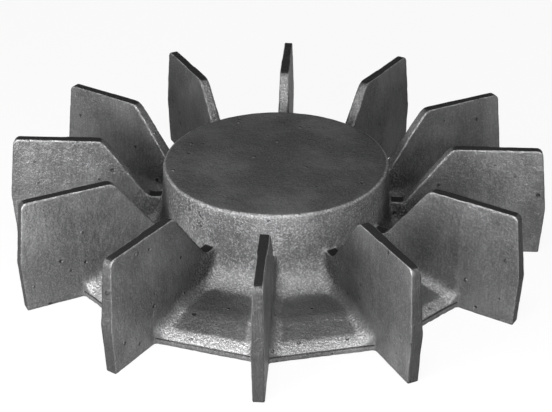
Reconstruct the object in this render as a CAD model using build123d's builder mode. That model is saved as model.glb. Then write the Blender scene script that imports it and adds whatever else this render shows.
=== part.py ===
from build123d import *
import os
from math import radians, tan

# Fan impeller cast in one piece: a hub drum closed at the top, a twelve-sided web round its
# foot, and straight radial blades that stand through the web's corners.
# Lengths are in millimetres and angles in degrees. The origin is on the fan's axis, level with
# the lower edges of the blades, and +Z runs along the axis towards the closed end of the hub.

# ---- Blades: the level upper edge ends in a slope that drops to a level foot at the hub
blade_count = 12
blade_height = 70.0
parting_height = 31.0  # the two halves of the mould meet here, and every draft turns over
tip_radius_top = 160.0
tip_radius_parting = 164.5
tip_radius_bottom = 163.0
blade_thickness_top = 5.5
blade_thickness_parting = 7.3
blade_thickness_bottom = 6.7
slope_angle = 53.5  # from the horizontal
foot_height = 33.2
foot_length = 9.5  # the level foot, from the hub's wall to where the slope starts
shoulder_round = 8.0
foot_round = 6.0
tip_upper_round = 3.5
tip_lower_chamfer = 2.0

# ---- Hub drum
hub_height = 58.8
hub_radius_top = 68.4
hub_draft = 2.0
hub_edge_chamfer = 2.0
hub_wall = 7.0
hub_end_thickness = 9.0

# ---- Web: level beside the hub, then a ramp and a steeper nose down to its straight rims
web_apothem = 124.8  # axis to the middle of a straight rim
web_height = 13.2
web_rim_height = 4.2
web_ramp_radius = 104.0
web_nose_radius = 119.5
web_nose_height = 8.4

# ---- One fillet radius where blades, hub and web run into each other
root_fillet = 8.0

# ---- Cavity under the hub, with a boss for the shaft
cavity_draft = 2.0
cavity_root_chamfer = 4.0
cavity_mouth_chamfer = 12.0
boss_radius = 36.0
boss_draft = 1.5
boss_face_height = 3.0
boss_edge_chamfer = 1.0
bore_radius = 19.0
bore_depth = 42.0
bore_chamfer = 1.0
key_width = 10.0
key_depth = 3.3

# ---- Sizes that follow from the ones above
hub_radius_web = hub_radius_top + (hub_height - web_height) * tan(radians(hub_draft))
hub_radius_at_foot = hub_radius_top + (hub_height - foot_height) * tan(radians(hub_draft))
slope_foot_radius = hub_radius_at_foot + foot_length
shoulder_radius = slope_foot_radius + (blade_height - foot_height) / tan(radians(slope_angle))
blade_inner_radius = hub_radius_top - hub_wall / 2
blade_pitch = 360 / blade_count
panel_half_width = 2 * web_apothem * tan(radians(blade_pitch / 2))
cavity_height = hub_height - hub_end_thickness
cavity_radius_top = hub_radius_top - hub_wall
cavity_radius_mouth = cavity_radius_top + cavity_height * tan(radians(cavity_draft))
boss_radius_root = boss_radius + (cavity_height - boss_face_height) * tan(radians(boss_draft))


# ---- One blade, standing on the +X side: its outline, cut to its drafted cross-section
with BuildPart() as blade:
    with BuildSketch(Plane.XZ) as blade_outline:
        with BuildLine():
            Polyline(
                (blade_inner_radius, 0),
                (tip_radius_bottom, 0),
                (tip_radius_parting, parting_height),
                (tip_radius_top, blade_height),
                (shoulder_radius, blade_height),
                (slope_foot_radius, foot_height),
                (blade_inner_radius, foot_height),
                close=True,
            )
        make_face()
        corners = blade_outline.vertices()
        chamfer(corners.sort_by_distance((tip_radius_bottom, 0))[0], tip_lower_chamfer)
        fillet(corners.sort_by_distance((tip_radius_top, blade_height))[0], tip_upper_round)
        fillet(corners.sort_by_distance((shoulder_radius, blade_height))[0], shoulder_round)
        fillet(corners.sort_by_distance((slope_foot_radius, foot_height))[0], foot_round)
    extrude(amount=blade_thickness_parting, both=True)
    with BuildSketch(Plane.YZ):
        with BuildLine():
            Polyline(
                (blade_thickness_bottom / 2, 0),
                (blade_thickness_parting / 2, parting_height),
                (blade_thickness_top / 2, blade_height),
                (-blade_thickness_top / 2, blade_height),
                (-blade_thickness_parting / 2, parting_height),
                (-blade_thickness_bottom / 2, 0),
                close=True,
            )
        make_face()
    extrude(amount=2 * tip_radius_parting, mode=Mode.INTERSECT)

# ---- One panel of the web, lying between two blades, from the axis to a straight rim
with BuildPart() as web_panel:
    with BuildSketch(Plane.XZ):
        with BuildLine():
            Polyline(
                (0, 0),
                (web_apothem, 0),
                (web_apothem, web_rim_height),
                (web_nose_radius, web_nose_height),
                (web_ramp_radius, web_height),
                (0, web_height),
                close=True,
            )
        make_face()
    extrude(amount=panel_half_width, both=True)
    with BuildSketch(Plane.XY):
        with BuildLine():
            Polyline(
                (0, 0),
                (2 * web_apothem, -panel_half_width),
                (2 * web_apothem, panel_half_width),
                close=True,
            )
        make_face()
    extrude(amount=blade_height, mode=Mode.INTERSECT)

# The turned sections stand halfway between two blades, so that no seam meets a blade.
section_plane = Plane.XZ.rotated((0, 0, blade_pitch / 2))

# ---- The casting: web panels, a turned hub and the blades, then the cavity cored out
with BuildPart() as impeller:
    with PolarLocations(0, blade_count, start_angle=blade_pitch / 2):
        add(web_panel.part)
    with BuildSketch(section_plane) as hub_section:
        with BuildLine():
            Polyline(
                (0, 0),
                (hub_radius_web, 0),
                (hub_radius_web, web_height),
                (hub_radius_top, hub_height),
                (0, hub_height),
                close=True,
            )
        make_face()
        corners = hub_section.vertices()
        chamfer(corners.sort_by_distance((hub_radius_top, hub_height))[0], hub_edge_chamfer)
    revolve(axis=Axis.Z)
    with PolarLocations(0, blade_count):
        add(blade.part)

    # The edges where blades, hub and web meet are rounded. The level feet and the corners of
    # the straight rims stay sharp.
    blade_joints = impeller.edges(Select.NEW)
    foot_joints = blade_joints.filter_by(lambda edge: abs((edge @ 0.5).Z - foot_height) < 0.5)
    rim_joints = blade_joints.filter_by(lambda edge: (edge @ 0.5).Z < 0.75 * web_rim_height)
    hub_joints = impeller.edges().filter_by(GeomType.CIRCLE)
    hub_joints = hub_joints.filter_by(lambda edge: abs(edge.center().Z - web_height) < 0.01)
    root_joints = (set(blade_joints) | set(hub_joints)) - set(foot_joints) - set(rim_joints)
    fillet(ShapeList(root_joints).sort_by(Axis.Z), root_fillet)

    # The cavity follows the outside of the drum at the wall's thickness, and leaves the boss.
    with BuildSketch(section_plane) as cavity_section:
        with BuildLine():
            Polyline(
                (0, 0),
                (cavity_radius_mouth + cavity_mouth_chamfer, 0),
                (cavity_radius_mouth, cavity_mouth_chamfer),
                (cavity_radius_top, cavity_height),
                (boss_radius_root, cavity_height),
                (boss_radius, boss_face_height),
                (0, boss_face_height),
                close=True,
            )
        make_face()
        corners = cavity_section.vertices()
        chamfer(corners.sort_by_distance((cavity_radius_top, cavity_height))[0], cavity_root_chamfer)
        chamfer(corners.sort_by_distance((boss_radius_root, cavity_height))[0], cavity_root_chamfer)
        chamfer(corners.sort_by_distance((boss_radius, boss_face_height))[0], boss_edge_chamfer)
    revolve(axis=Axis.Z, mode=Mode.SUBTRACT)

    # The shaft comes in from below, so the bore is blind and opens downwards.
    with Locations(Plane((0, 0, boss_face_height), z_dir=(0, 0, -1))):
        Hole(bore_radius, bore_depth)
    bore_mouth = impeller.edges(Select.LAST).filter_by(GeomType.CIRCLE).group_by(Axis.Z)[0]
    chamfer(bore_mouth, bore_chamfer)
    with BuildSketch(Plane.XY.offset(boss_face_height)):
        Rectangle(bore_radius + key_depth, key_width, align=(Align.MIN, Align.CENTER))
    extrude(amount=bore_depth, mode=Mode.SUBTRACT)

impeller.part.label = "impeller"
impeller.part.color = Color(0.24, 0.24, 0.25)

os.makedirs("parts", exist_ok=True)
export_step(impeller.part, "parts/impeller.step")
print("impeller:", impeller.part.bounding_box().size, "volume", round(impeller.part.volume))
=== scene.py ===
# %% [markdown]
# # A cast iron fan impeller
# The real wheel is one sand casting: a drum hub, a web round the foot of the hub, and twelve
# straight blades that stand through the corners of the web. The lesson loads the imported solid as
# the frame, describes one twelfth of the casting by distances, turns that into a mesh, repeats it
# with Geometry Nodes, gives it the uneven skin that sand leaves, and finishes it with a
# procedural cast iron. Lengths are metres in Blender; the pattern's own sizes are millimetres.

# %% Load the frame
import math

import bmesh
import bpy
import numpy as np
from mathutils import Matrix, Vector


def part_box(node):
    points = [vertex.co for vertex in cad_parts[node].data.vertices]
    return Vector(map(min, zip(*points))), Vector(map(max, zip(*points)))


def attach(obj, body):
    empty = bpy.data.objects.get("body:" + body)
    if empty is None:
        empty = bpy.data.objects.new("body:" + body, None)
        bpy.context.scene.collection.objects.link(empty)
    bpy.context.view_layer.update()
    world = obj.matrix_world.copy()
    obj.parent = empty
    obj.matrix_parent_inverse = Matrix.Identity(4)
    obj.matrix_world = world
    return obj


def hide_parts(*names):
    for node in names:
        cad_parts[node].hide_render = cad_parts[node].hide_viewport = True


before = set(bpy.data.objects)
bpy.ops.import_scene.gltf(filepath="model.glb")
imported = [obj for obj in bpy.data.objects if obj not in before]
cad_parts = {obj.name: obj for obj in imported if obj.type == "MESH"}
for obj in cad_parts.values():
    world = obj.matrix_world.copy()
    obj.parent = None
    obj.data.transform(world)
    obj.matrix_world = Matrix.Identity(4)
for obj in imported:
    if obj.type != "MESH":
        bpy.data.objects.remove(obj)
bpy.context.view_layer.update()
casting_low, casting_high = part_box("impeller")
print("casting box", [round(v, 4) for v in (*casting_low, *casting_high)])

# %% [markdown]
# ## Camera
# The wheel is seen from a little above, with a lens of about 89 mm on a 36 mm film, so the far
# blades look hardly smaller than the near ones. A camera's matrix holds its right, up and
# backward directions as columns, so an exact view is written there rather than as three angles.

# %% Camera at the viewing angle
IMAGE_WIDTH_PX = 552
FOCAL_PX = 1360.3
SENSOR_MM = 36.0
CAMERA_AZIMUTH = math.radians(-86.648)
CAMERA_DISTANCE = 0.7331  # from the fan's axis, along the floor
CAMERA_HEIGHT = 0.4419
CAMERA_PITCH = math.radians(-29.526)
CAMERA_ROLL = math.radians(-0.198)


def make_camera():
    inward = Vector((-math.cos(CAMERA_AZIMUTH), -math.sin(CAMERA_AZIMUTH), 0))
    forward = inward * math.cos(CAMERA_PITCH) + Vector((0, 0, 1)) * math.sin(CAMERA_PITCH)
    right = forward.cross(Vector((0, 0, 1))).normalized()
    up = right.cross(forward)
    rolled_right = right * math.cos(CAMERA_ROLL) + up * math.sin(CAMERA_ROLL)
    rolled_up = up * math.cos(CAMERA_ROLL) - right * math.sin(CAMERA_ROLL)
    lens = bpy.data.cameras.new("camera")
    lens.sensor_width = SENSOR_MM
    lens.lens = SENSOR_MM * FOCAL_PX / IMAGE_WIDTH_PX
    lens.clip_start = 0.01
    camera = bpy.data.objects.new("camera", lens)
    place = inward * -CAMERA_DISTANCE + Vector((0, 0, CAMERA_HEIGHT))
    camera.matrix_world = Matrix((rolled_right, rolled_up, -forward)).transposed().to_4x4()
    camera.location = place
    bpy.context.scene.collection.objects.link(camera)
    bpy.context.scene.camera = camera
    return camera


camera = make_camera()
print("camera at", [round(v, 4) for v in camera.location], "lens", round(camera.data.lens, 1), "mm")

# %% [markdown]
# ## The pattern's sizes
# A patternmaker works from a few sizes, and so does this lesson. Every wall that the mould has
# to let go of leans by a degree or two, and leans the other way below the parting line.

# %% Sizes of the pattern, in millimetres
BLADES = 12
HALF_PITCH = math.pi / BLADES
BLADE_TOP = 70.0
PARTING = 31.0
TIP_TOP, TIP_PARTING, TIP_BOTTOM = 160.0, 164.5, 163.0
HALF_THICK_TOP, HALF_THICK_PARTING, HALF_THICK_BOTTOM = 2.75, 3.65, 3.35
SHOULDER, SLOPE, FOOT_TOP = 106.0, math.radians(53.5), 33.2
HUB_TOP, HUB_RADIUS, HUB_DRAFT = 58.8, 68.4, math.radians(2.0)
WEB_TOP, WEB_APOTHEM = 13.2, 124.8
WEB_PROFILE = ((104.0, 13.2), (119.5, 8.4), (124.8, 4.2))  # ramp, nose and rim
CAVITY_TOP, CAVITY_RADIUS = 49.8, 61.4
CAVITY_MOUTH, CAVITY_ROOT = 12.0, 4.0
BOSS_RADIUS, BOSS_FACE, BOSS_DRAFT = 36.0, 3.0, math.radians(1.5)
BORE_RADIUS, BORE_TOP = 19.0, 45.0
KEY_WIDTH, KEY_DEPTH = 10.0, 3.3

# %% Rounds of the pattern, in millimetres
BLADE_EDGE_ROUND, TIP_ROUND = 0.65, 3.5
SHOULDER_EASE, FOOT_EASE = 3.6, 2.6
RAMP_EASE, NOSE_EASE = 0.9, 0.7
HUB_EDGE_ROUND = 2.2
HUB_BLEND = 18.0  # where the hub's wall runs out into the web
RIM_ROUND, RIM_JOIN = 0.9, 1.0  # the web's rim, and where a blade passes it
LOWER_ROUND = 0.9
MOUTH_ROUND, BOSS_FACE_ROUND = 1.0, 1.0
BORE_TOP_ROUND, BORE_MOUTH_ROUND = 1.0, 0.9

# %% [markdown]
# ## Distances instead of faces
# A distance field says for each point how far it is from the surface, negative inside. Two
# shapes join by taking the smaller distance, and a rounded join gives the fillet that the
# patternmaker rubs into a corner. It suits a casting, where everything runs into everything with
# its own radius, because the rounded corners come out without seams.


# %% Rounded joins and rounded corners
def join(a, b, radius):
    """The union of two distances, with a concave fillet of the radius."""
    u = np.maximum(radius - a, 0)
    v = np.maximum(radius - b, 0)
    return np.maximum(radius, np.minimum(a, b)) - np.hypot(u, v)


def trim(a, b, radius):
    """What two distances share, with its convex edge rounded to the radius."""
    u = np.maximum(radius + a, 0)
    v = np.maximum(radius + b, 0)
    return np.minimum(-radius, np.maximum(a, b)) + np.hypot(u, v)


def soften(a, b, reach):
    """The larger of two distances that meet at a blunt corner, eased within the reach."""
    return np.maximum(a, b) + np.maximum(reach - np.abs(a - b), 0) ** 2 / (4 * reach)


def line_side(x, y, start, end):
    """The distance to the left of the line from start to end."""
    dx, dy = end[0] - start[0], end[1] - start[1]
    return ((y - start[1]) * dx - (x - start[0]) * dy) / math.hypot(dx, dy)


# %% [markdown]
# ## Blade, web and hub
# The blade is its outline seen from the side, cut to a drafted thickness. The web is a straight
# panel between each two blades, so the rim is a twelve-sided plate and not a disc. The hub is a
# cup, turned upside down, with a bored boss hanging in it. The cup's hollow, the boss and the bore
# are an assumption: they are what a hub of this kind could have underneath.


# %% Distance to one blade
def blade_distance(x, y, z):
    run = (BLADE_TOP - FOOT_TOP) / math.tan(SLOPE)
    slope = line_side(x, z, (SHOULDER - run, FOOT_TOP), (SHOULDER, BLADE_TOP))
    upper = soften(z - BLADE_TOP, slope, SHOULDER_EASE)
    inner = -soften(-upper, FOOT_TOP - z, FOOT_EASE)
    tip_upper = line_side(x, z, (TIP_TOP, BLADE_TOP), (TIP_PARTING, PARTING))
    tip_lower = line_side(x, z, (TIP_PARTING, PARTING), (TIP_BOTTOM, 0.0))
    outline = trim(inner, np.maximum(tip_upper, tip_lower), TIP_ROUND)
    halves = (HALF_THICK_BOTTOM, HALF_THICK_PARTING, HALF_THICK_TOP)
    half = np.interp(z, (0.0, PARTING, BLADE_TOP), halves)
    return trim(outline, np.abs(y) - half, BLADE_EDGE_ROUND)


# %% Distance to the web
def rim_distance(x, y):
    return x * math.cos(HALF_PITCH) + y * math.sin(HALF_PITCH) - WEB_APOTHEM


def web_distance(x, y, z):
    """The web's upper side; the rim is cut later, because the fillets end at it too."""
    across = rim_distance(x, y) + WEB_APOTHEM
    ramp, nose, rim = WEB_PROFILE
    top = soften(z - WEB_TOP, line_side(across, z, ramp, nose), RAMP_EASE)
    return soften(top, line_side(across, z, nose, rim), NOSE_EASE)


# %% Distance to the hub drum, and to the hollow under it
def hub_distance(radius, z):
    wall = (radius - HUB_RADIUS - (HUB_TOP - z) * math.tan(HUB_DRAFT)) * math.cos(HUB_DRAFT)
    return trim(wall, z - HUB_TOP, HUB_EDGE_ROUND)


def hollow_distance(radius, z):
    wall = (radius - CAVITY_RADIUS - (CAVITY_TOP - z) * math.tan(HUB_DRAFT)) * math.cos(HUB_DRAFT)
    mouth = CAVITY_RADIUS + CAVITY_TOP * math.tan(HUB_DRAFT) + CAVITY_MOUTH
    wall = np.minimum(wall, (radius + z - mouth) / math.sqrt(2))
    boss = radius - BOSS_RADIUS - (z - BOSS_FACE) * math.tan(BOSS_DRAFT)
    around = trim(trim(wall, z - CAVITY_TOP, CAVITY_ROOT), -boss, CAVITY_ROOT)
    return join(around, np.maximum(wall, z - BOSS_FACE), BOSS_FACE_ROUND)


print("sizes: blade", BLADE_TOP, "mm high, hub", 2 * HUB_RADIUS, "mm across its top")


# %% [markdown]
# ## The whole casting as one distance
# Every blade is alike, so a point is first folded into the half of one twelfth, as a paper star
# is folded before it is cut. The fillet at a blade's root is large along the web and the hub
# and small above the blade's foot, so its radius depends on the height.


# %% Distance to the casting
def fold(x, y):
    radius = np.hypot(x, y)
    turn = np.abs(np.mod(np.arctan2(y, x) + HALF_PITCH, 2 * HALF_PITCH) - HALF_PITCH)
    return radius, radius * np.cos(turn), radius * np.sin(turn)


ROOT_RADIUS = ((17.0, 24.0, 28.0, 32.5), (8.5, 5.5, 5.0, 3.2))  # heights, and the radius at each


def casting_distance(x, y, z):
    radius, along, aside = fold(x, y)
    body = join(hub_distance(radius, z), web_distance(along, aside, z), HUB_BLEND)
    blade = blade_distance(along, aside, z)
    rooted = join(body, blade, np.interp(z, *ROOT_RADIUS))
    body = trim(rooted, rim_distance(along, aside), RIM_ROUND)
    body = trim(join(body, blade, RIM_JOIN), -z, LOWER_ROUND)
    hollowed = trim(body, -hollow_distance(radius, z), MOUTH_ROUND)
    bore = trim(radius - BORE_RADIUS, z - BORE_TOP, BORE_TOP_ROUND)
    return trim(hollowed, -bore, BORE_MOUTH_ROUND)


# %% [markdown]
# ## From distances to a mesh
# A surface net puts one vertex in each cell of a grid that the surface passes through, and joins
# neighbouring cells by a quad. The grid lines stand closer together where an edge needs them.
# Each vertex is then pulled onto the exact surface along the slope of the distance.


# %% Surface net
def grid_lines(start, *runs):
    """Grid lines from start; each run is (end, wanted step)."""
    lines = [np.array([start])]
    for end, step in runs:
        count = max(1, round((end - lines[-1][-1]) / step))
        lines.append(np.linspace(lines[-1][-1], end, count + 1)[1:])
    return np.concatenate(lines)


LEAST_SLOPE, LONGEST_PULL = 0.25, 0.6


def pull_to_surface(points, distance, steps=4, reach=0.02):
    for _ in range(steps):
        here = distance(*points.T)
        slope = np.stack([
            (distance(*(points + shift).T) - distance(*(points - shift).T)) / (2 * reach)
            for shift in np.eye(3) * reach
        ], axis=1)
        size = np.maximum((slope ** 2).sum(1), LEAST_SLOPE)
        points = points - slope * (np.clip(here, -LONGEST_PULL, LONGEST_PULL) / size)[:, None]
    return points


def surface_net(lines, distance):
    """Vertices and quads of the surface where the distance is zero."""
    field = distance(*np.meshgrid(*lines, indexing="ij"))
    solid = field < 0
    cells = tuple(n - 1 for n in field.shape)
    total, hits = np.zeros((*cells, 3)), np.zeros(cells)
    corners = [(i, j, k) for i in (0, 1) for j in (0, 1) for k in (0, 1)]

    def corner_view(values, corner):
        return values[tuple(slice(c, c + n) for c, n in zip(corner, cells))]

    for axis in range(3):
        for low in [c for c in corners if c[axis] == 0]:
            high = tuple(c + (n == axis) for n, c in enumerate(low))
            crossed = corner_view(solid, low) != corner_view(solid, high)
            where = np.nonzero(crossed)
            a, b = corner_view(field, low)[where], corner_view(field, high)[where]
            part = a / (a - b)
            for n in range(3):
                start = lines[n][where[n] + low[n]]
                stop = lines[n][where[n] + high[n]]
                total[(*where, n)] += start + (stop - start) * part
            hits[where] += 1
    used = hits > 0
    number = np.full(cells, -1)
    number[used] = np.arange(used.sum())
    points = total[used] / hits[used][:, None]

    quads = []
    for axis in range(3):
        one, two = [n for n in range(3) if n != axis]
        inner = [slice(1, -1)] * 3
        inner[axis] = slice(None, -1)
        shifted = list(inner)
        shifted[axis] = slice(1, None)
        outward = solid[tuple(inner)] & ~solid[tuple(shifted)]
        inward = ~solid[tuple(inner)] & solid[tuple(shifted)]
        for mask, turned in ((outward, False), (inward, True)):
            index = np.array(np.nonzero(mask))
            index[one] += 1
            index[two] += 1
            ring = []
            for d_one, d_two in ((-1, -1), (0, -1), (0, 0), (-1, 0)):
                cell = index.copy()
                cell[one] += d_one
                cell[two] += d_two
                ring.append(number[tuple(cell)])
            ring = np.stack(ring, axis=1)
            quads.append(ring[:, ::-1] if turned != (axis == 1) else ring)
    return pull_to_surface(points, distance), np.concatenate(quads)


# %% Net over one half of one twelfth
MIRROR_STEP = 0.8  # the blade's middle plane runs through the middle of a row of cells
NET_LINES = (
    grid_lines(-2.0, (60.0, 2.2), (76.0, 1.4), (156.0, 1.55), (166.5, 0.95)),
    grid_lines(-1.5 * MIRROR_STEP, (5.2, MIRROR_STEP), (20.0, 1.6), (46.0, 2.2)),
    grid_lines(
        -1.4, (4.4, 0.97), (17.0, 1.5), (56.2, 1.7), (61.4, 0.87), (66.6, 1.3), (71.0, 0.75),
    ),
)
net_points, net_quads = surface_net(NET_LINES, casting_distance)
off_surface = np.abs(casting_distance(*net_points.T)).max()
print("net:", len(net_points), "vertices,", len(net_quads), "quads")
print("furthest vertex off the surface:", round(off_surface, 3), "mm")

# %% [markdown]
# ## What stands proud
# Edges get rubbed, and here carry a painted highlight too; corners keep their dirt; so each point needs
# to know which it is. The average distance a little way off in six directions is above zero beside a
# convex edge, zero on a flat, and below zero in a corner. It is stored with the mesh and read by the
# material for the rubbed edges with their painted highlight.


# %% How far each point stands proud
PROUD_REACH = 1.6
PROUD_FULL = 0.25  # the average, as a share of the reach, that counts as fully proud


def how_proud(points):
    total = np.zeros(len(points))
    for shift in np.vstack((np.eye(3), -np.eye(3))) * PROUD_REACH:
        total += casting_distance(*(points + shift).T)
    return np.clip(total / 6 / (PROUD_FULL * PROUD_REACH), -1, 1)


net_proud = how_proud(net_points)
print("proud: from", round(float(net_proud.min()), 2), "to", round(float(net_proud.max()), 2))

# %% [markdown]
# ## One twelfth, cut where a core maker would
# The half is trimmed at the plane between two blades and mirrored at the blade's own middle
# plane. The upper part of the blade then comes off along a slanting plane, so that the drum with
# its web, and the row of blades, are two closed pieces of a workable size.

# %% Half to whole twelfth
MM = 0.001
SEAM_HEIGHT_AT_HUB, SEAM_RADIUS_AT_FLOOR, SEAM_START = 40.0, 158.0, 69.0
CUT_FROM = 76 * MM  # the slanting cut leaves everything nearer the axis alone
ON_PLANE = 2e-5
WELD_REACH = 2e-6


def bmesh_of(points, quads, proud):
    mesh = bpy.data.meshes.new("net")
    mesh.from_pydata((points * MM).tolist(), [], quads.tolist())
    mesh.attributes.new("proud", "FLOAT", "POINT").data.foreach_set("value", proud)
    shape = bmesh.new()
    shape.from_mesh(mesh)
    bpy.data.meshes.remove(mesh)
    return shape


def boundary_count(shape):
    return sum(edge.is_boundary for edge in shape.edges)


def whole_twelfth(points, quads, proud):
    """Trims the half at both its planes and adds its mirror image."""
    keep = points[:, 1] > -0.5 * MIRROR_STEP
    points[np.abs(points[:, 1]) < 0.25 * MIRROR_STEP, 1] = 0
    shape = bmesh_of(points, quads[keep[quads].all(1)], proud)
    side = Vector((-math.sin(HALF_PITCH), math.cos(HALF_PITCH), 0))
    everything = shape.verts[:] + shape.edges[:] + shape.faces[:]
    bmesh.ops.bisect_plane(
        shape, geom=everything, plane_co=(0, 0, 0), plane_no=side, clear_outer=True,
    )
    loose = [v for v in shape.verts if not v.link_faces]
    bmesh.ops.delete(shape, geom=loose, context="VERTS")
    half = shape.verts[:] + shape.edges[:] + shape.faces[:]
    copied = bmesh.ops.duplicate(shape, geom=half)["geom"]
    for element in copied:
        if isinstance(element, bmesh.types.BMVert):
            element.co.y = -element.co.y
    copied_faces = [f for f in copied if isinstance(f, bmesh.types.BMFace)]
    bmesh.ops.reverse_faces(shape, faces=copied_faces)
    bmesh.ops.remove_doubles(shape, verts=shape.verts, dist=WELD_REACH)
    return shape


twelfth = whole_twelfth(net_points, net_quads, net_proud)
print("twelfth:", len(twelfth.faces), "faces,", boundary_count(twelfth), "open edges")


# %% Blade and core apart
def cut_apart(shape):
    """Splits the twelfth at the slanting plane; returns the core's part and the blade's part."""
    fall = SEAM_HEIGHT_AT_HUB / (SEAM_RADIUS_AT_FLOOR - SEAM_START)
    normal = Vector((fall, 0, 1)).normalized()
    start = Vector((SEAM_START, 0, SEAM_HEIGHT_AT_HUB)) * MM

    def outer(face):
        middle = face.calc_center_median()
        return middle.x > CUT_FROM and (middle - start).dot(normal) > 0

    near = [f for f in shape.faces if f.calc_center_median().x > CUT_FROM]
    edges = {e for f in near for e in f.edges}
    verts = {v for f in near for v in f.verts}
    everything = list(verts) + list(edges) + near
    bmesh.ops.bisect_plane(shape, geom=everything, plane_co=start, plane_no=normal)
    parts = []
    for wanted in (False, True):
        part = shape.copy()
        unwanted = [f for f in part.faces if outer(f) != wanted]
        bmesh.ops.delete(part, geom=unwanted, context="FACES")
        rim = [
            e for e in part.edges
            if e.is_boundary and all(abs((v.co - start).dot(normal)) < ON_PLANE for v in e.verts)
            and all(v.co.x > CUT_FROM for v in e.verts)
        ]
        for edge in rim:
            edge.smooth = False
        cap = bmesh.ops.contextual_create(part, geom=rim)["faces"]
        bmesh.ops.triangulate(part, faces=cap)
        parts.append(part)
    return parts


core_twelfth, blade_shape = cut_apart(twelfth)
bmesh.ops.recalc_face_normals(blade_shape, faces=blade_shape.faces)
for title, shape in (("core twelfth", core_twelfth), ("blade", blade_shape)):
    print(title, len(shape.faces), "faces,", boundary_count(shape), "open edges")

# %% [markdown]
# ## Twelve of them, and the skin that sand leaves
# Geometry Nodes put the twelfth down once per blade, each turned by its share of the circle, and
# weld the seams. Then every point is moved a little by three layers of noise: a long wave for
# walls that never come out quite flat, lumps for a rammed mould, and grains for the sand. The
# noise reads the place in space, so no two blades are alike and the two pieces still meet.

# %% Geometry Nodes: ring of castings
# Each layer of noise has a name, a height and a length, in metres.
LAYERS = (("Wave", 0.0005, 0.055), ("Lump", 0.00022, 0.011), ("Grain", 0.00013, 0.0032))
SEAM_WELD = 0.000004
NOISE_SEED = 7


def new_input(tree, name, kind, value, low=None):
    socket = tree.interface.new_socket(name=name, in_out="INPUT", socket_type=kind)
    if value is not None:
        socket.default_value = value
    if low is not None:
        socket.min_value = low
    return socket


def ring_tree():
    tree = bpy.data.node_groups.new("ring of castings", "GeometryNodeTree")
    tree.interface.new_socket(name="Geometry", in_out="INPUT", socket_type="NodeSocketGeometry")
    tree.interface.new_socket(name="Geometry", in_out="OUTPUT", socket_type="NodeSocketGeometry")
    new_input(tree, "Count", "NodeSocketInt", BLADES, 1)
    new_input(tree, "Weld distance", "NodeSocketFloat", SEAM_WELD, 0)
    for layer, height, length in LAYERS:
        new_input(tree, layer + " height", "NodeSocketFloat", height)
        new_input(tree, layer + " length", "NodeSocketFloat", length, 0.0001)
    new_input(tree, "Seed", "NodeSocketInt", NOISE_SEED)
    new_input(tree, "Material", "NodeSocketMaterial", None)
    node, link = tree.nodes.new, tree.links.new
    given = node("NodeGroupInput")

    points = node("GeometryNodePoints")
    link(given.outputs["Count"], points.inputs["Count"])
    index = node("GeometryNodeInputIndex")
    share = node("ShaderNodeMath")
    share.operation = "DIVIDE"
    link(index.outputs[0], share.inputs[0])
    link(given.outputs["Count"], share.inputs[1])
    turn = node("ShaderNodeMath")
    turn.operation = "MULTIPLY"
    turn.inputs[1].default_value = 2 * math.pi
    link(share.outputs[0], turn.inputs[0])
    rotation = node("ShaderNodeCombineXYZ")
    link(turn.outputs[0], rotation.inputs["Z"])

    copies = node("GeometryNodeInstanceOnPoints")
    link(points.outputs[0], copies.inputs["Points"])
    link(given.outputs["Geometry"], copies.inputs["Instance"])
    link(rotation.outputs[0], copies.inputs["Rotation"])
    real = node("GeometryNodeRealizeInstances")
    link(copies.outputs[0], real.inputs[0])
    welded = node("GeometryNodeMergeByDistance")
    link(real.outputs[0], welded.inputs["Geometry"])
    link(given.outputs["Weld distance"], welded.inputs["Distance"])

    offset = None
    for layer, _, _ in LAYERS:
        per_metre = node("ShaderNodeMath")
        per_metre.operation = "DIVIDE"
        per_metre.inputs[0].default_value = 1.0
        link(given.outputs[layer + " length"], per_metre.inputs[1])
        noise = node("ShaderNodeTexNoise")
        noise.noise_dimensions = "4D"
        noise.inputs["Detail"].default_value = 1.0
        link(given.outputs["Seed"], noise.inputs["W"])
        link(per_metre.outputs[0], noise.inputs["Scale"])
        centred = node("ShaderNodeVectorMath")
        centred.operation = "SUBTRACT"
        centred.inputs[1].default_value = (0.5, 0.5, 0.5)
        link(noise.outputs["Color"], centred.inputs[0])
        scaled = node("ShaderNodeVectorMath")
        scaled.operation = "SCALE"
        link(centred.outputs[0], scaled.inputs[0])
        doubled = node("ShaderNodeMath")
        doubled.operation = "MULTIPLY"
        doubled.inputs[1].default_value = 2.0
        link(given.outputs[layer + " height"], doubled.inputs[0])
        link(doubled.outputs[0], scaled.inputs["Scale"])
        if offset is None:
            offset = scaled.outputs[0]
        else:
            summed = node("ShaderNodeVectorMath")
            link(offset, summed.inputs[0])
            link(scaled.outputs[0], summed.inputs[1])
            offset = summed.outputs[0]
    moved = node("GeometryNodeSetPosition")
    link(welded.outputs[0], moved.inputs["Geometry"])
    link(offset, moved.inputs["Offset"])

    finished = node("GeometryNodeSetMaterial")
    link(moved.outputs[0], finished.inputs["Geometry"])
    link(given.outputs["Material"], finished.inputs["Material"])
    result = node("NodeGroupOutput")
    link(finished.outputs[0], result.inputs["Geometry"])
    return tree


def tree_inputs(modifier, **values):
    """Sets a modifier's inputs by the identifiers of their sockets."""
    for item in modifier.node_group.interface.items_tree:
        key = item.name.lower().replace(" ", "_")
        if item.item_type == "SOCKET" and item.in_out == "INPUT" and key in values:
            modifier[item.identifier] = values[key]


casting_ring = ring_tree()
print("ring tree:", len(casting_ring.nodes), "nodes")
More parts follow.
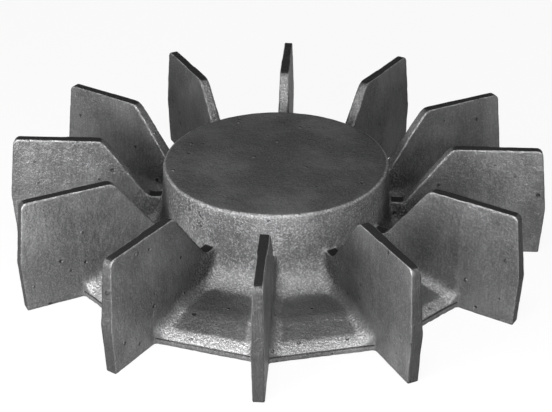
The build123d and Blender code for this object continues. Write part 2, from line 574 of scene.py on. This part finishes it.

# %% [markdown]
# ## Cast iron
# Bare grey iron out of a sand mould is a dark, dull skin full of small pits and grains, a little
# brighter where its edges have been rubbed; here the upward-facing edges get that brightening together
# with a painted highlight. The skin is a shader node group with named inputs: grains, lumps, patches,
# and scattered spots of which half are sunk and half stand up. The rubbed edges and their painted
# highlight come from an attribute, which says for each point how far it stands proud.

# %% Shader group: sand-cast skin
COAT_DARK = (0.075, 0.075, 0.076, 1)
COAT_LIGHT = (0.125, 0.125, 0.127, 1)
# Dark for pits, scratches and the darker tips, and for painted shade on the tops and a painted shadow
# line at the rim.
PIT_AND_SHADE_DARK = (0.02, 0.02, 0.02, 1)
# Rubbed edges: wear together with a painted highlight.
RUBBED_AND_HIGHLIGHT = (0.34, 0.34, 0.34, 1)
# Pale grain speckle, and a painted highlight on slopes and fillets.
PALE_GRAIN_AND_HIGHLIGHT = (0.46, 0.46, 0.46, 1)


def shader_group(name, inputs, outputs):
    tree = bpy.data.node_groups.new(name, "ShaderNodeTree")
    for title, kind, value in inputs:
        new_input(tree, title, kind, value)
    for title, kind in outputs:
        tree.interface.new_socket(name=title, in_out="OUTPUT", socket_type=kind)
    return tree, tree.nodes.new("NodeGroupInput"), tree.nodes.new("NodeGroupOutput")


def add_noise(tree, vector, scale, detail, roughness=0.55):
    noise = tree.nodes.new("ShaderNodeTexNoise")
    noise.inputs["Detail"].default_value = detail
    noise.inputs["Roughness"].default_value = roughness
    tree.links.new(vector, noise.inputs["Vector"])
    if hasattr(scale, "links"):
        tree.links.new(scale, noise.inputs["Scale"])
    else:
        noise.inputs["Scale"].default_value = scale
    return noise.outputs["Fac"]


def add_range(tree, value, low, high, to_low=0.0, to_high=1.0):
    node = tree.nodes.new("ShaderNodeMapRange")
    node.interpolation_type = "SMOOTHSTEP"
    tree.links.new(value, node.inputs["Value"])
    ends = (("From Min", low), ("From Max", high), ("To Min", to_low), ("To Max", to_high))
    for title, number in ends:
        node.inputs[title].default_value = number
    return node.outputs["Result"]


def add_math(tree, operation, *values):
    node = tree.nodes.new("ShaderNodeMath")
    node.operation = operation
    for socket, value in zip(node.inputs, values):
        if hasattr(value, "links"):
            tree.links.new(value, socket)
        else:
            socket.default_value = value
    return node.outputs[0]


def add_mix(tree, share, low, high):
    node = tree.nodes.new("ShaderNodeMix")
    node.data_type = "RGBA"
    for title, value in (("Factor", share), ("A", low), ("B", high)):
        if hasattr(value, "links"):
            tree.links.new(value, node.inputs[title])
        else:
            node.inputs[title].default_value = value
    return node.outputs["Result"]


def skin_group():
    tree, given, result = shader_group(
        "sand-cast skin",
        (("Vector", "NodeSocketVector", None), ("Grain scale", "NodeSocketFloat", 850.0),
         ("Lump scale", "NodeSocketFloat", 240.0), ("Pit scale", "NodeSocketFloat", 150.0),
         ("Patch scale", "NodeSocketFloat", 24.0)),
        (("Height", "NodeSocketFloat"), ("Patches", "NodeSocketFloat"), ("Pits", "NodeSocketFloat"),
         ("Lumps", "NodeSocketFloat"), ("Grain", "NodeSocketFloat")),
    )
    vector = given.outputs["Vector"]
    grain = add_noise(tree, vector, given.outputs["Grain scale"], 2.0, 0.6)
    lumps = add_noise(tree, vector, given.outputs["Lump scale"], 2.0)
    patches = add_noise(tree, vector, given.outputs["Patch scale"], 4.0, 0.6)
    bubbles = tree.nodes.new("ShaderNodeTexVoronoi")
    bubbles.inputs["Randomness"].default_value = 1.0
    tree.links.new(vector, bubbles.inputs["Vector"])
    tree.links.new(given.outputs["Pit scale"], bubbles.inputs["Scale"])
    chosen = tree.nodes.new("ShaderNodeSeparateColor")
    tree.links.new(bubbles.outputs["Color"], chosen.inputs["Color"])
    size = add_range(tree, chosen.outputs["Red"], 0.40, 1.0, 0.0, 0.22)
    depth = add_math(tree, "SUBTRACT", size, bubbles.outputs["Distance"])
    pits = add_range(tree, depth, 0.0, 0.12)
    raised = add_range(tree, chosen.outputs["Green"], 0.50, 0.51, -2.5, 2.5)
    height = add_math(tree, "MULTIPLY_ADD", pits, raised, lumps)
    hollows = add_math(tree, "MULTIPLY", pits, add_math(tree, "LESS_THAN", raised, 0.0))
    outputs = (
        ("Height", height), ("Patches", patches), ("Pits", hollows), ("Lumps", lumps), ("Grain", grain),
    )
    for title, value in outputs:
        tree.links.new(value, result.inputs[title])
    return tree


skin = skin_group()
print("skin group:", len(skin.nodes), "nodes")

# %% [markdown]
# ## Which face is which
# The skin isn't one tone all over. The blades' tops and the foot are darkened with painted shade, the
# tips are darker, a thin painted shadow line follows the web's rim, and the slopes and fillets are paler
# and more speckled as a painted highlight. This group tells those places apart by their height, their
# distance from the middle and the way they face, and adds fine upright scratches. Its distances are in
# metres, and each pair is where a mask starts to change and where the change is complete.

# %% Shader group: scratches and painted light
TIP_FADE = (0.150, 0.155)
HUB_FADE = (0.086, 0.098)
RIM_FADE = (0.138, 0.140)
# The foot band is painted shade and the rim band a painted shadow line.
FOOT_BAND, RIM_BAND = 0.003, 0.0005  # half the height of each band
SCRATCH_STRETCH = (1.0, 1.0, 0.07)  # squeezes the noise upright


def scratches_and_light_group():
    """Fine upright scratches, and a mask for each kind of face that differs, painted shade and painted
    highlight among them.
    """
    tree, given, result = shader_group(
        "scratches and painted light",
        (("Vector", "NodeSocketVector", None), ("Normal", "NodeSocketVector", None),
         ("Scratch scale", "NodeSocketFloat", 1100.0), ("Top level", "NodeSocketFloat", 0.066),
         ("Foot level", "NodeSocketFloat", 0.034), ("Rim level", "NodeSocketFloat", 0.0038)),
        (("Scratches", "NodeSocketFloat"), ("Top shade", "NodeSocketFloat"), ("Tip", "NodeSocketFloat"),
         ("Sloping", "NodeSocketFloat"), ("Coarse", "NodeSocketFloat"), ("Rim shadow line", "NodeSocketFloat"),
         ("Upward", "NodeSocketFloat")),
    )
    link = tree.links.new
    squeezed = tree.nodes.new("ShaderNodeVectorMath")
    squeezed.operation = "MULTIPLY"
    squeezed.inputs[1].default_value = SCRATCH_STRETCH
    link(given.outputs["Vector"], squeezed.inputs[0])
    scratches = add_noise(tree, squeezed.outputs[0], given.outputs["Scratch scale"], 2.0, 0.6)
    place = tree.nodes.new("ShaderNodeSeparateXYZ")
    link(given.outputs["Vector"], place.inputs[0])
    facing = tree.nodes.new("ShaderNodeSeparateXYZ")
    link(given.outputs["Normal"], facing.inputs[0])
    # Painted shade: upward faces above the top level and in the foot's band are darkened.
    above = add_math(tree, "GREATER_THAN", place.outputs["Z"], given.outputs["Top level"])
    foot = add_math(tree, "COMPARE", place.outputs["Z"], given.outputs["Foot level"], FOOT_BAND)
    above = add_math(tree, "MAXIMUM", above, foot)
    upper = add_math(tree, "MULTIPLY", above, add_range(tree, facing.outputs["Z"], 0.80, 0.95))
    outward = tree.nodes.new("ShaderNodeVectorMath")
    outward.operation = "NORMALIZE"
    link(given.outputs["Vector"], outward.inputs[0])
    along = tree.nodes.new("ShaderNodeVectorMath")
    along.operation = "DOT_PRODUCT"
    link(outward.outputs[0], along.inputs[0])
    link(given.outputs["Normal"], along.inputs[1])
    far = tree.nodes.new("ShaderNodeVectorMath")
    far.operation = "LENGTH"
    link(given.outputs["Vector"], far.inputs[0])
    beyond = add_range(tree, far.outputs["Value"], *TIP_FADE)
    tip = add_math(tree, "MULTIPLY", beyond, add_range(tree, along.outputs["Value"], 0.6, 0.85))
    near_hub = add_range(tree, far.outputs["Value"], *HUB_FADE, 1.0, 0.0)
    steep = add_math(tree, "MULTIPLY_ADD", near_hub, -0.045, facing.outputs["Z"])
    level = add_range(tree, steep, 0.86, 0.945)
    # Painted highlight: slopes and fillets that face outward are made paler.
    slope_highlight = add_math(tree, "SUBTRACT", add_range(tree, facing.outputs["Z"], 0.30, 0.85), level)
    across = add_math(tree, "ABSOLUTE", along.outputs["Value"])
    slope_highlight = add_math(tree, "MULTIPLY", slope_highlight, add_range(tree, across, 0.20, 0.50, 0.2, 1.0))
    not_level = add_range(tree, facing.outputs["Z"], 0.90, 0.98, 1.0, 0.0)
    coarse = add_math(tree, "MULTIPLY", near_hub, not_level)
    # The coarse mask takes in the painted highlight's slopes as well.
    coarse = add_math(tree, "MAXIMUM", coarse, slope_highlight)
    # Painted shadow: a thin dark line at the rim's level on outward faces near the rim.
    line = add_math(tree, "COMPARE", place.outputs["Z"], given.outputs["Rim level"], RIM_BAND)
    rim = add_math(tree, "MULTIPLY", line, add_range(tree, far.outputs["Value"], *RIM_FADE, 1.0, 0.0))
    rim = add_math(tree, "MULTIPLY", rim, add_range(tree, along.outputs["Value"], 0.5, 0.7))
    upward = add_range(tree, facing.outputs["Z"], 0.05, 0.40)
    outputs = (("Scratches", scratches), ("Top shade", upper), ("Tip", tip), ("Sloping", slope_highlight),
               ("Coarse", coarse), ("Rim shadow line", rim), ("Upward", upward))
    for title, value in outputs:
        link(value, result.inputs[title])
    return tree


scratches_and_light = scratches_and_light_group()
print("grinding group:", len(scratches_and_light.nodes), "nodes")

# %% [markdown]
# ## The finish
# The two groups meet in one material. A blend of a darker and a lighter coat is the base. Then come the
# speckle, which on the slopes is the sparkle of a painted highlight, the scratches, the pits, the
# painted highlight on the slopes, the rubbed edges with their painted highlight, the painted shade on
# the blade tops, the darker tips and the painted shadow line along the rim, each as one mix with its own
# share, so that every one can be turned up or down alone.

# %% Material: grey cast iron
PIT_SHARE, SLOPE_HIGHLIGHT_SHARE = 0.6, 0.26
TOP_SHADE_SHARE, TIP_SHARE, RIM_SHADOW_SHARE = 0.88, 0.72, 0.85
STREAK_SHARE, RUBBED_AND_HIGHLIGHT_SHARE = 0.16, 0.6
BUMP_METRES, BUMP_STRENGTH = 0.0006, 0.9
METALLIC, SPECULAR_LEVEL, SPECULAR_TINT = 0.5, 0.1, (0.1, 0.1, 0.1, 1)


def masked_mix(tree, mask, share, shade, colour):
    """Mixes the colour into the shade where the mask is, at the share."""
    return add_mix(tree, add_math(tree, "MULTIPLY", mask, share), shade, colour)


def cast_iron_material():
    material = bpy.data.materials.new("cast iron")
    material.use_nodes = True
    tree = material.node_tree
    shader = tree.nodes["Principled BSDF"]
    place = tree.nodes.new("ShaderNodeTexCoord")
    surface = tree.nodes.new("ShaderNodeNewGeometry")
    sand = tree.nodes.new("ShaderNodeGroup")
    sand.node_tree = skin
    tree.links.new(place.outputs["Object"], sand.inputs["Vector"])
    marks_and_light = tree.nodes.new("ShaderNodeGroup")
    marks_and_light.node_tree = scratches_and_light
    tree.links.new(place.outputs["Object"], marks_and_light.inputs["Vector"])
    tree.links.new(surface.outputs["Normal"], marks_and_light.inputs["Normal"])
    proud = tree.nodes.new("ShaderNodeAttribute")
    proud.attribute_name = "proud"

    shade = add_mix(tree, add_range(tree, sand.outputs["Patches"], 0.35, 0.65), COAT_DARK, COAT_LIGHT)
    speckle = add_range(tree, sand.outputs["Grain"], 0.46, 0.64)
    # Grain speckle, stronger on the slopes, where it is the sparkle of the painted highlight.
    coarse = add_math(tree, "MULTIPLY_ADD", marks_and_light.outputs["Coarse"], 0.16, 0.09)
    coarse = add_math(tree, "MULTIPLY_ADD", marks_and_light.outputs["Sloping"], 0.22, coarse)
    shade = add_mix(tree, add_math(tree, "MULTIPLY", speckle, coarse), shade, PALE_GRAIN_AND_HIGHLIGHT)
    streaks = add_range(tree, marks_and_light.outputs["Scratches"], 0.40, 0.68, 0.0, STREAK_SHARE)
    shade = add_mix(tree, streaks, shade, PIT_AND_SHADE_DARK)
    shade = masked_mix(tree, sand.outputs["Pits"], PIT_SHARE, shade, PIT_AND_SHADE_DARK)
    # Painted highlight on the slopes and fillets.
    shade = masked_mix(tree, marks_and_light.outputs["Sloping"], SLOPE_HIGHLIGHT_SHARE, shade, PALE_GRAIN_AND_HIGHLIGHT)
    # Rubbed edges facing upward: wear with a painted highlight.
    ragged = add_math(tree, "MULTIPLY_ADD", sand.outputs["Lumps"], 1.5, proud.outputs["Fac"])
    rubbed_and_highlight = add_range(tree, ragged, 1.45, 2.0, 0.0, RUBBED_AND_HIGHLIGHT_SHARE)
    shade = masked_mix(tree, rubbed_and_highlight, marks_and_light.outputs["Upward"], shade, RUBBED_AND_HIGHLIGHT)
    # Painted shade on the blade tops and the foot.
    shade = masked_mix(tree, marks_and_light.outputs["Top shade"], TOP_SHADE_SHARE, shade, PIT_AND_SHADE_DARK)
    shade = masked_mix(tree, marks_and_light.outputs["Tip"], TIP_SHARE, shade, PIT_AND_SHADE_DARK)
    # Painted shadow line along the web's rim.
    shade = masked_mix(tree, marks_and_light.outputs["Rim shadow line"], RIM_SHADOW_SHARE, shade, PIT_AND_SHADE_DARK)
    tree.links.new(shade, shader.inputs["Base Color"])
    rough = add_range(tree, sand.outputs["Grain"], 0.3, 0.7, 0.32, 0.46)
    tree.links.new(rough, shader.inputs["Roughness"])
    shader.inputs["Metallic"].default_value = METALLIC
    shader.inputs["Specular IOR Level"].default_value = SPECULAR_LEVEL
    shader.inputs["Specular Tint"].default_value = SPECULAR_TINT

    scratch_depth = add_math(tree, "MULTIPLY_ADD", marks_and_light.outputs["Tip"], 0.9, 0.12)
    scored = add_math(tree, "MULTIPLY", marks_and_light.outputs["Scratches"], scratch_depth)
    grain_depth = add_math(tree, "MULTIPLY_ADD", marks_and_light.outputs["Coarse"], 0.9, 0.60)
    scored = add_math(tree, "MULTIPLY_ADD", sand.outputs["Grain"], grain_depth, scored)
    bump = tree.nodes.new("ShaderNodeBump")
    bump.inputs["Distance"].default_value = BUMP_METRES
    bump.inputs["Strength"].default_value = BUMP_STRENGTH
    tree.links.new(add_math(tree, "ADD", sand.outputs["Height"], scored), bump.inputs["Height"])
    tree.links.new(bump.outputs["Normal"], shader.inputs["Normal"])
    return material


cast_iron = cast_iron_material()
print("material:", cast_iron.name, len(cast_iron.node_tree.nodes), "nodes")

# %% [markdown]
# ## The pieces
# Each part of the twelfth becomes an object, gets the ring of castings as a modifier, and is
# turned into a plain mesh. Points that the noise pushed out of the casting's box go back to it,
# which keeps the wheel the size that it was drawn.


# %% Ring to plain mesh
def ring_piece(name, shape):
    source = bpy.data.meshes.new(name + " twelfth")
    shape.to_mesh(source)
    source.shade_smooth()
    holder = bpy.data.objects.new(name, source)
    bpy.context.scene.collection.objects.link(holder)
    modifier = holder.modifiers.new("ring", "NODES")
    modifier.node_group = casting_ring
    tree_inputs(modifier, count=BLADES, material=cast_iron)
    graph = bpy.context.evaluated_depsgraph_get()
    finished = bpy.data.meshes.new_from_object(holder.evaluated_get(graph))
    bpy.data.objects.remove(holder)
    bpy.data.meshes.remove(source)
    finished.name = name
    piece = bpy.data.objects.new(name, finished)
    bpy.context.scene.collection.objects.link(piece)
    keep_in_box(finished)
    return piece


def points_of(mesh):
    values = np.empty(len(mesh.vertices) * 3, np.float32)
    mesh.vertices.foreach_get("co", values)
    return values.reshape(-1, 3)


def keep_in_box(mesh):
    inside = np.clip(points_of(mesh), np.array(casting_low), np.array(casting_high))
    mesh.vertices.foreach_set("co", inside.ravel())
    mesh.update()


def report(piece):
    mesh = piece.data
    mesh.calc_loop_triangles()
    shape = bmesh.new()
    shape.from_mesh(mesh)
    open_edges = sum(not e.is_manifold for e in shape.edges)
    volume = shape.calc_volume(signed=True)
    shape.free()
    print(piece.name, len(mesh.loop_triangles), "triangles,", open_edges, "open edges,", end=" ")
    print(round(volume * 1e6, 1), "cm3")


drum_and_web = ring_piece("drum_and_web", core_twelfth)
blade_row = ring_piece("blade_row", blade_shape)
for piece in (drum_and_web, blade_row):
    report(piece)

# %% [markdown]
# ## The keyway
# The keyway is the one thing that the twelve parts don't share, so it is cut afterwards, with
# an exact Boolean, which keeps the mesh closed.


# %% Cut the keyway
CUTTER_BELOW = 10.0  # how far the cutter reaches out under the boss, in millimetres


def cut_keyway(piece):
    cutter_shape = bmesh.new()
    bmesh.ops.create_cube(cutter_shape, size=1.0)
    reach = BORE_RADIUS + KEY_DEPTH
    size = Vector((reach, KEY_WIDTH, BORE_TOP + CUTTER_BELOW)) * MM
    middle = Vector((reach / 2, 0, (BORE_TOP - CUTTER_BELOW) / 2)) * MM
    for vertex in cutter_shape.verts:
        vertex.co = middle + Vector(a * b for a, b in zip(vertex.co, size))
    cutter_mesh = bpy.data.meshes.new("keyway")
    cutter_shape.to_mesh(cutter_mesh)
    cutter_shape.free()
    cutter = bpy.data.objects.new("keyway", cutter_mesh)
    bpy.context.scene.collection.objects.link(cutter)
    modifier = piece.modifiers.new("keyway", "BOOLEAN")
    modifier.operation, modifier.solver, modifier.object = "DIFFERENCE", "EXACT", cutter
    graph = bpy.context.evaluated_depsgraph_get()
    cut = bpy.data.meshes.new_from_object(piece.evaluated_get(graph))
    piece.modifiers.clear()
    before, piece.data = piece.data, cut
    bpy.data.meshes.remove(before)
    cut.name = piece.name
    bpy.data.objects.remove(cutter)
    bpy.data.meshes.remove(cutter_mesh)


cut_keyway(drum_and_web)
report(drum_and_web)

# %% [markdown]
# ## On to the frame
# Both pieces ride on the one body and stand for the imported solid, which stays for collision.

# %% Ride and replace
for piece in (drum_and_web, blade_row):
    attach(piece, "root")
    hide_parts("impeller")

# %% [markdown]
# ## Floor, light and background
# A pale floor, three low soft lamps on the camera's side and a smaller one high above them light
# the wheel. The left lamp is the strongest, so that the blades' two sides differ. The background
# is white for the camera and, near the horizon, for reflections, turns grey overhead, and is dim
# for everything else.

# %% Floor
FLOOR_SIDE = 8.0
FLOOR_GAP = 0.0002  # keeps the floor from showing through the underside
FLOOR_WHITE = 0.93  # the share of plain white in what is seen of the floor
FLOOR_GREY, FLOOR_ROUGHNESS = (0.65, 0.65, 0.65, 1), 0.9


def seen_rays(tree):
    """1 for rays from the camera and for reflections and refractions, 0 for the rest."""
    path = tree.nodes.new("ShaderNodeLightPath")
    seen = add_math(tree, "MAXIMUM", path.outputs["Is Camera Ray"], path.outputs["Is Glossy Ray"])
    return add_math(tree, "MAXIMUM", seen, path.outputs["Is Transmission Ray"])


def make_floor():
    shape = bmesh.new()
    bmesh.ops.create_grid(shape, x_segments=1, y_segments=1, size=FLOOR_SIDE / 2)
    bmesh.ops.translate(shape, verts=shape.verts, vec=(0, 0, -FLOOR_GAP))
    mesh = bpy.data.meshes.new("floor")
    shape.to_mesh(mesh)
    shape.free()
    floor = bpy.data.objects.new("floor", mesh)
    bpy.context.scene.collection.objects.link(floor)
    material = bpy.data.materials.new("pale floor")
    material.use_nodes = True
    tree = material.node_tree
    shader = tree.nodes["Principled BSDF"]
    shader.inputs["Base Color"].default_value = FLOOR_GREY
    shader.inputs["Roughness"].default_value = FLOOR_ROUGHNESS
    white = tree.nodes.new("ShaderNodeEmission")
    white.inputs["Color"].default_value = (1, 1, 1, 1)
    mixed = tree.nodes.new("ShaderNodeMixShader")
    tree.links.new(add_math(tree, "MULTIPLY", seen_rays(tree), FLOOR_WHITE), mixed.inputs["Fac"])
    tree.links.new(shader.outputs[0], mixed.inputs[1])
    tree.links.new(white.outputs[0], mixed.inputs[2])
    tree.links.new(mixed.outputs[0], tree.nodes["Material Output"].inputs["Surface"])
    mesh.materials.append(material)


make_floor()
print("floor:", FLOOR_SIDE, "m wide,", FLOOR_GAP * 1000, "mm under the wheel")


# %% Lamps
WHEEL_MIDDLE = Vector((0, 0, 0.03))


def soft_lamp(name, azimuth, elevation, distance, size, power):
    """A square lamp that looks at the middle of the wheel; angles are in degrees."""
    turn, rise = math.radians(azimuth), math.radians(elevation)
    away = Vector((math.cos(turn) * math.cos(rise), math.sin(turn) * math.cos(rise), math.sin(rise)))
    light = bpy.data.lights.new(name, "AREA")
    light.shape = "SQUARE"
    light.size = size
    light.energy = power
    lamp = bpy.data.objects.new(name, light)
    lamp.location = WHEEL_MIDDLE + away * distance
    lamp.rotation_mode = "QUATERNION"
    lamp.rotation_quaternion = away.to_track_quat("Z", "Y")
    lamp.visible_camera = False
    bpy.context.scene.collection.objects.link(lamp)
    return lamp


LAMPS = (
    soft_lamp("left lamp", -127, 14, 0.50, 0.25, 4.9),
    soft_lamp("front lamp", -95, 14, 0.50, 0.25, 1.0),
    soft_lamp("right lamp", -62, 14, 0.50, 0.25, 2.1),
    soft_lamp("upper lamp", -95, 69, 0.90, 0.16, 3.6),
)


# %% World
CEILING = (0.16, 0.16, 0.16, 1)
CEILING_FADE = (0.12, 0.42)  # how far up the white turns to the ceiling's grey
WORLD_DIM = 0.08


def make_world():
    world = bpy.data.worlds.new("studio")
    world.use_nodes = True
    tree = world.node_tree
    background = tree.nodes["Background"]
    strength = add_range(tree, seen_rays(tree), 0.0, 1.0, WORLD_DIM, 1.0)
    direction = tree.nodes.new("ShaderNodeTexCoord")
    parts = tree.nodes.new("ShaderNodeSeparateXYZ")
    tree.links.new(direction.outputs["Generated"], parts.inputs["Vector"])
    overhead = add_range(tree, parts.outputs["Z"], *CEILING_FADE)
    colour = add_mix(tree, overhead, (1, 1, 1, 1), CEILING)
    tree.links.new(colour, background.inputs["Color"])
    tree.links.new(strength, background.inputs["Strength"])
    bpy.context.scene.world = world


make_world()
bpy.context.scene.view_settings.view_transform = "Standard"
print("lamps:", [lamp.name for lamp in LAMPS])

# %% [markdown]
# ## Finish

# %% Finish
bpy.context.view_layer.update()
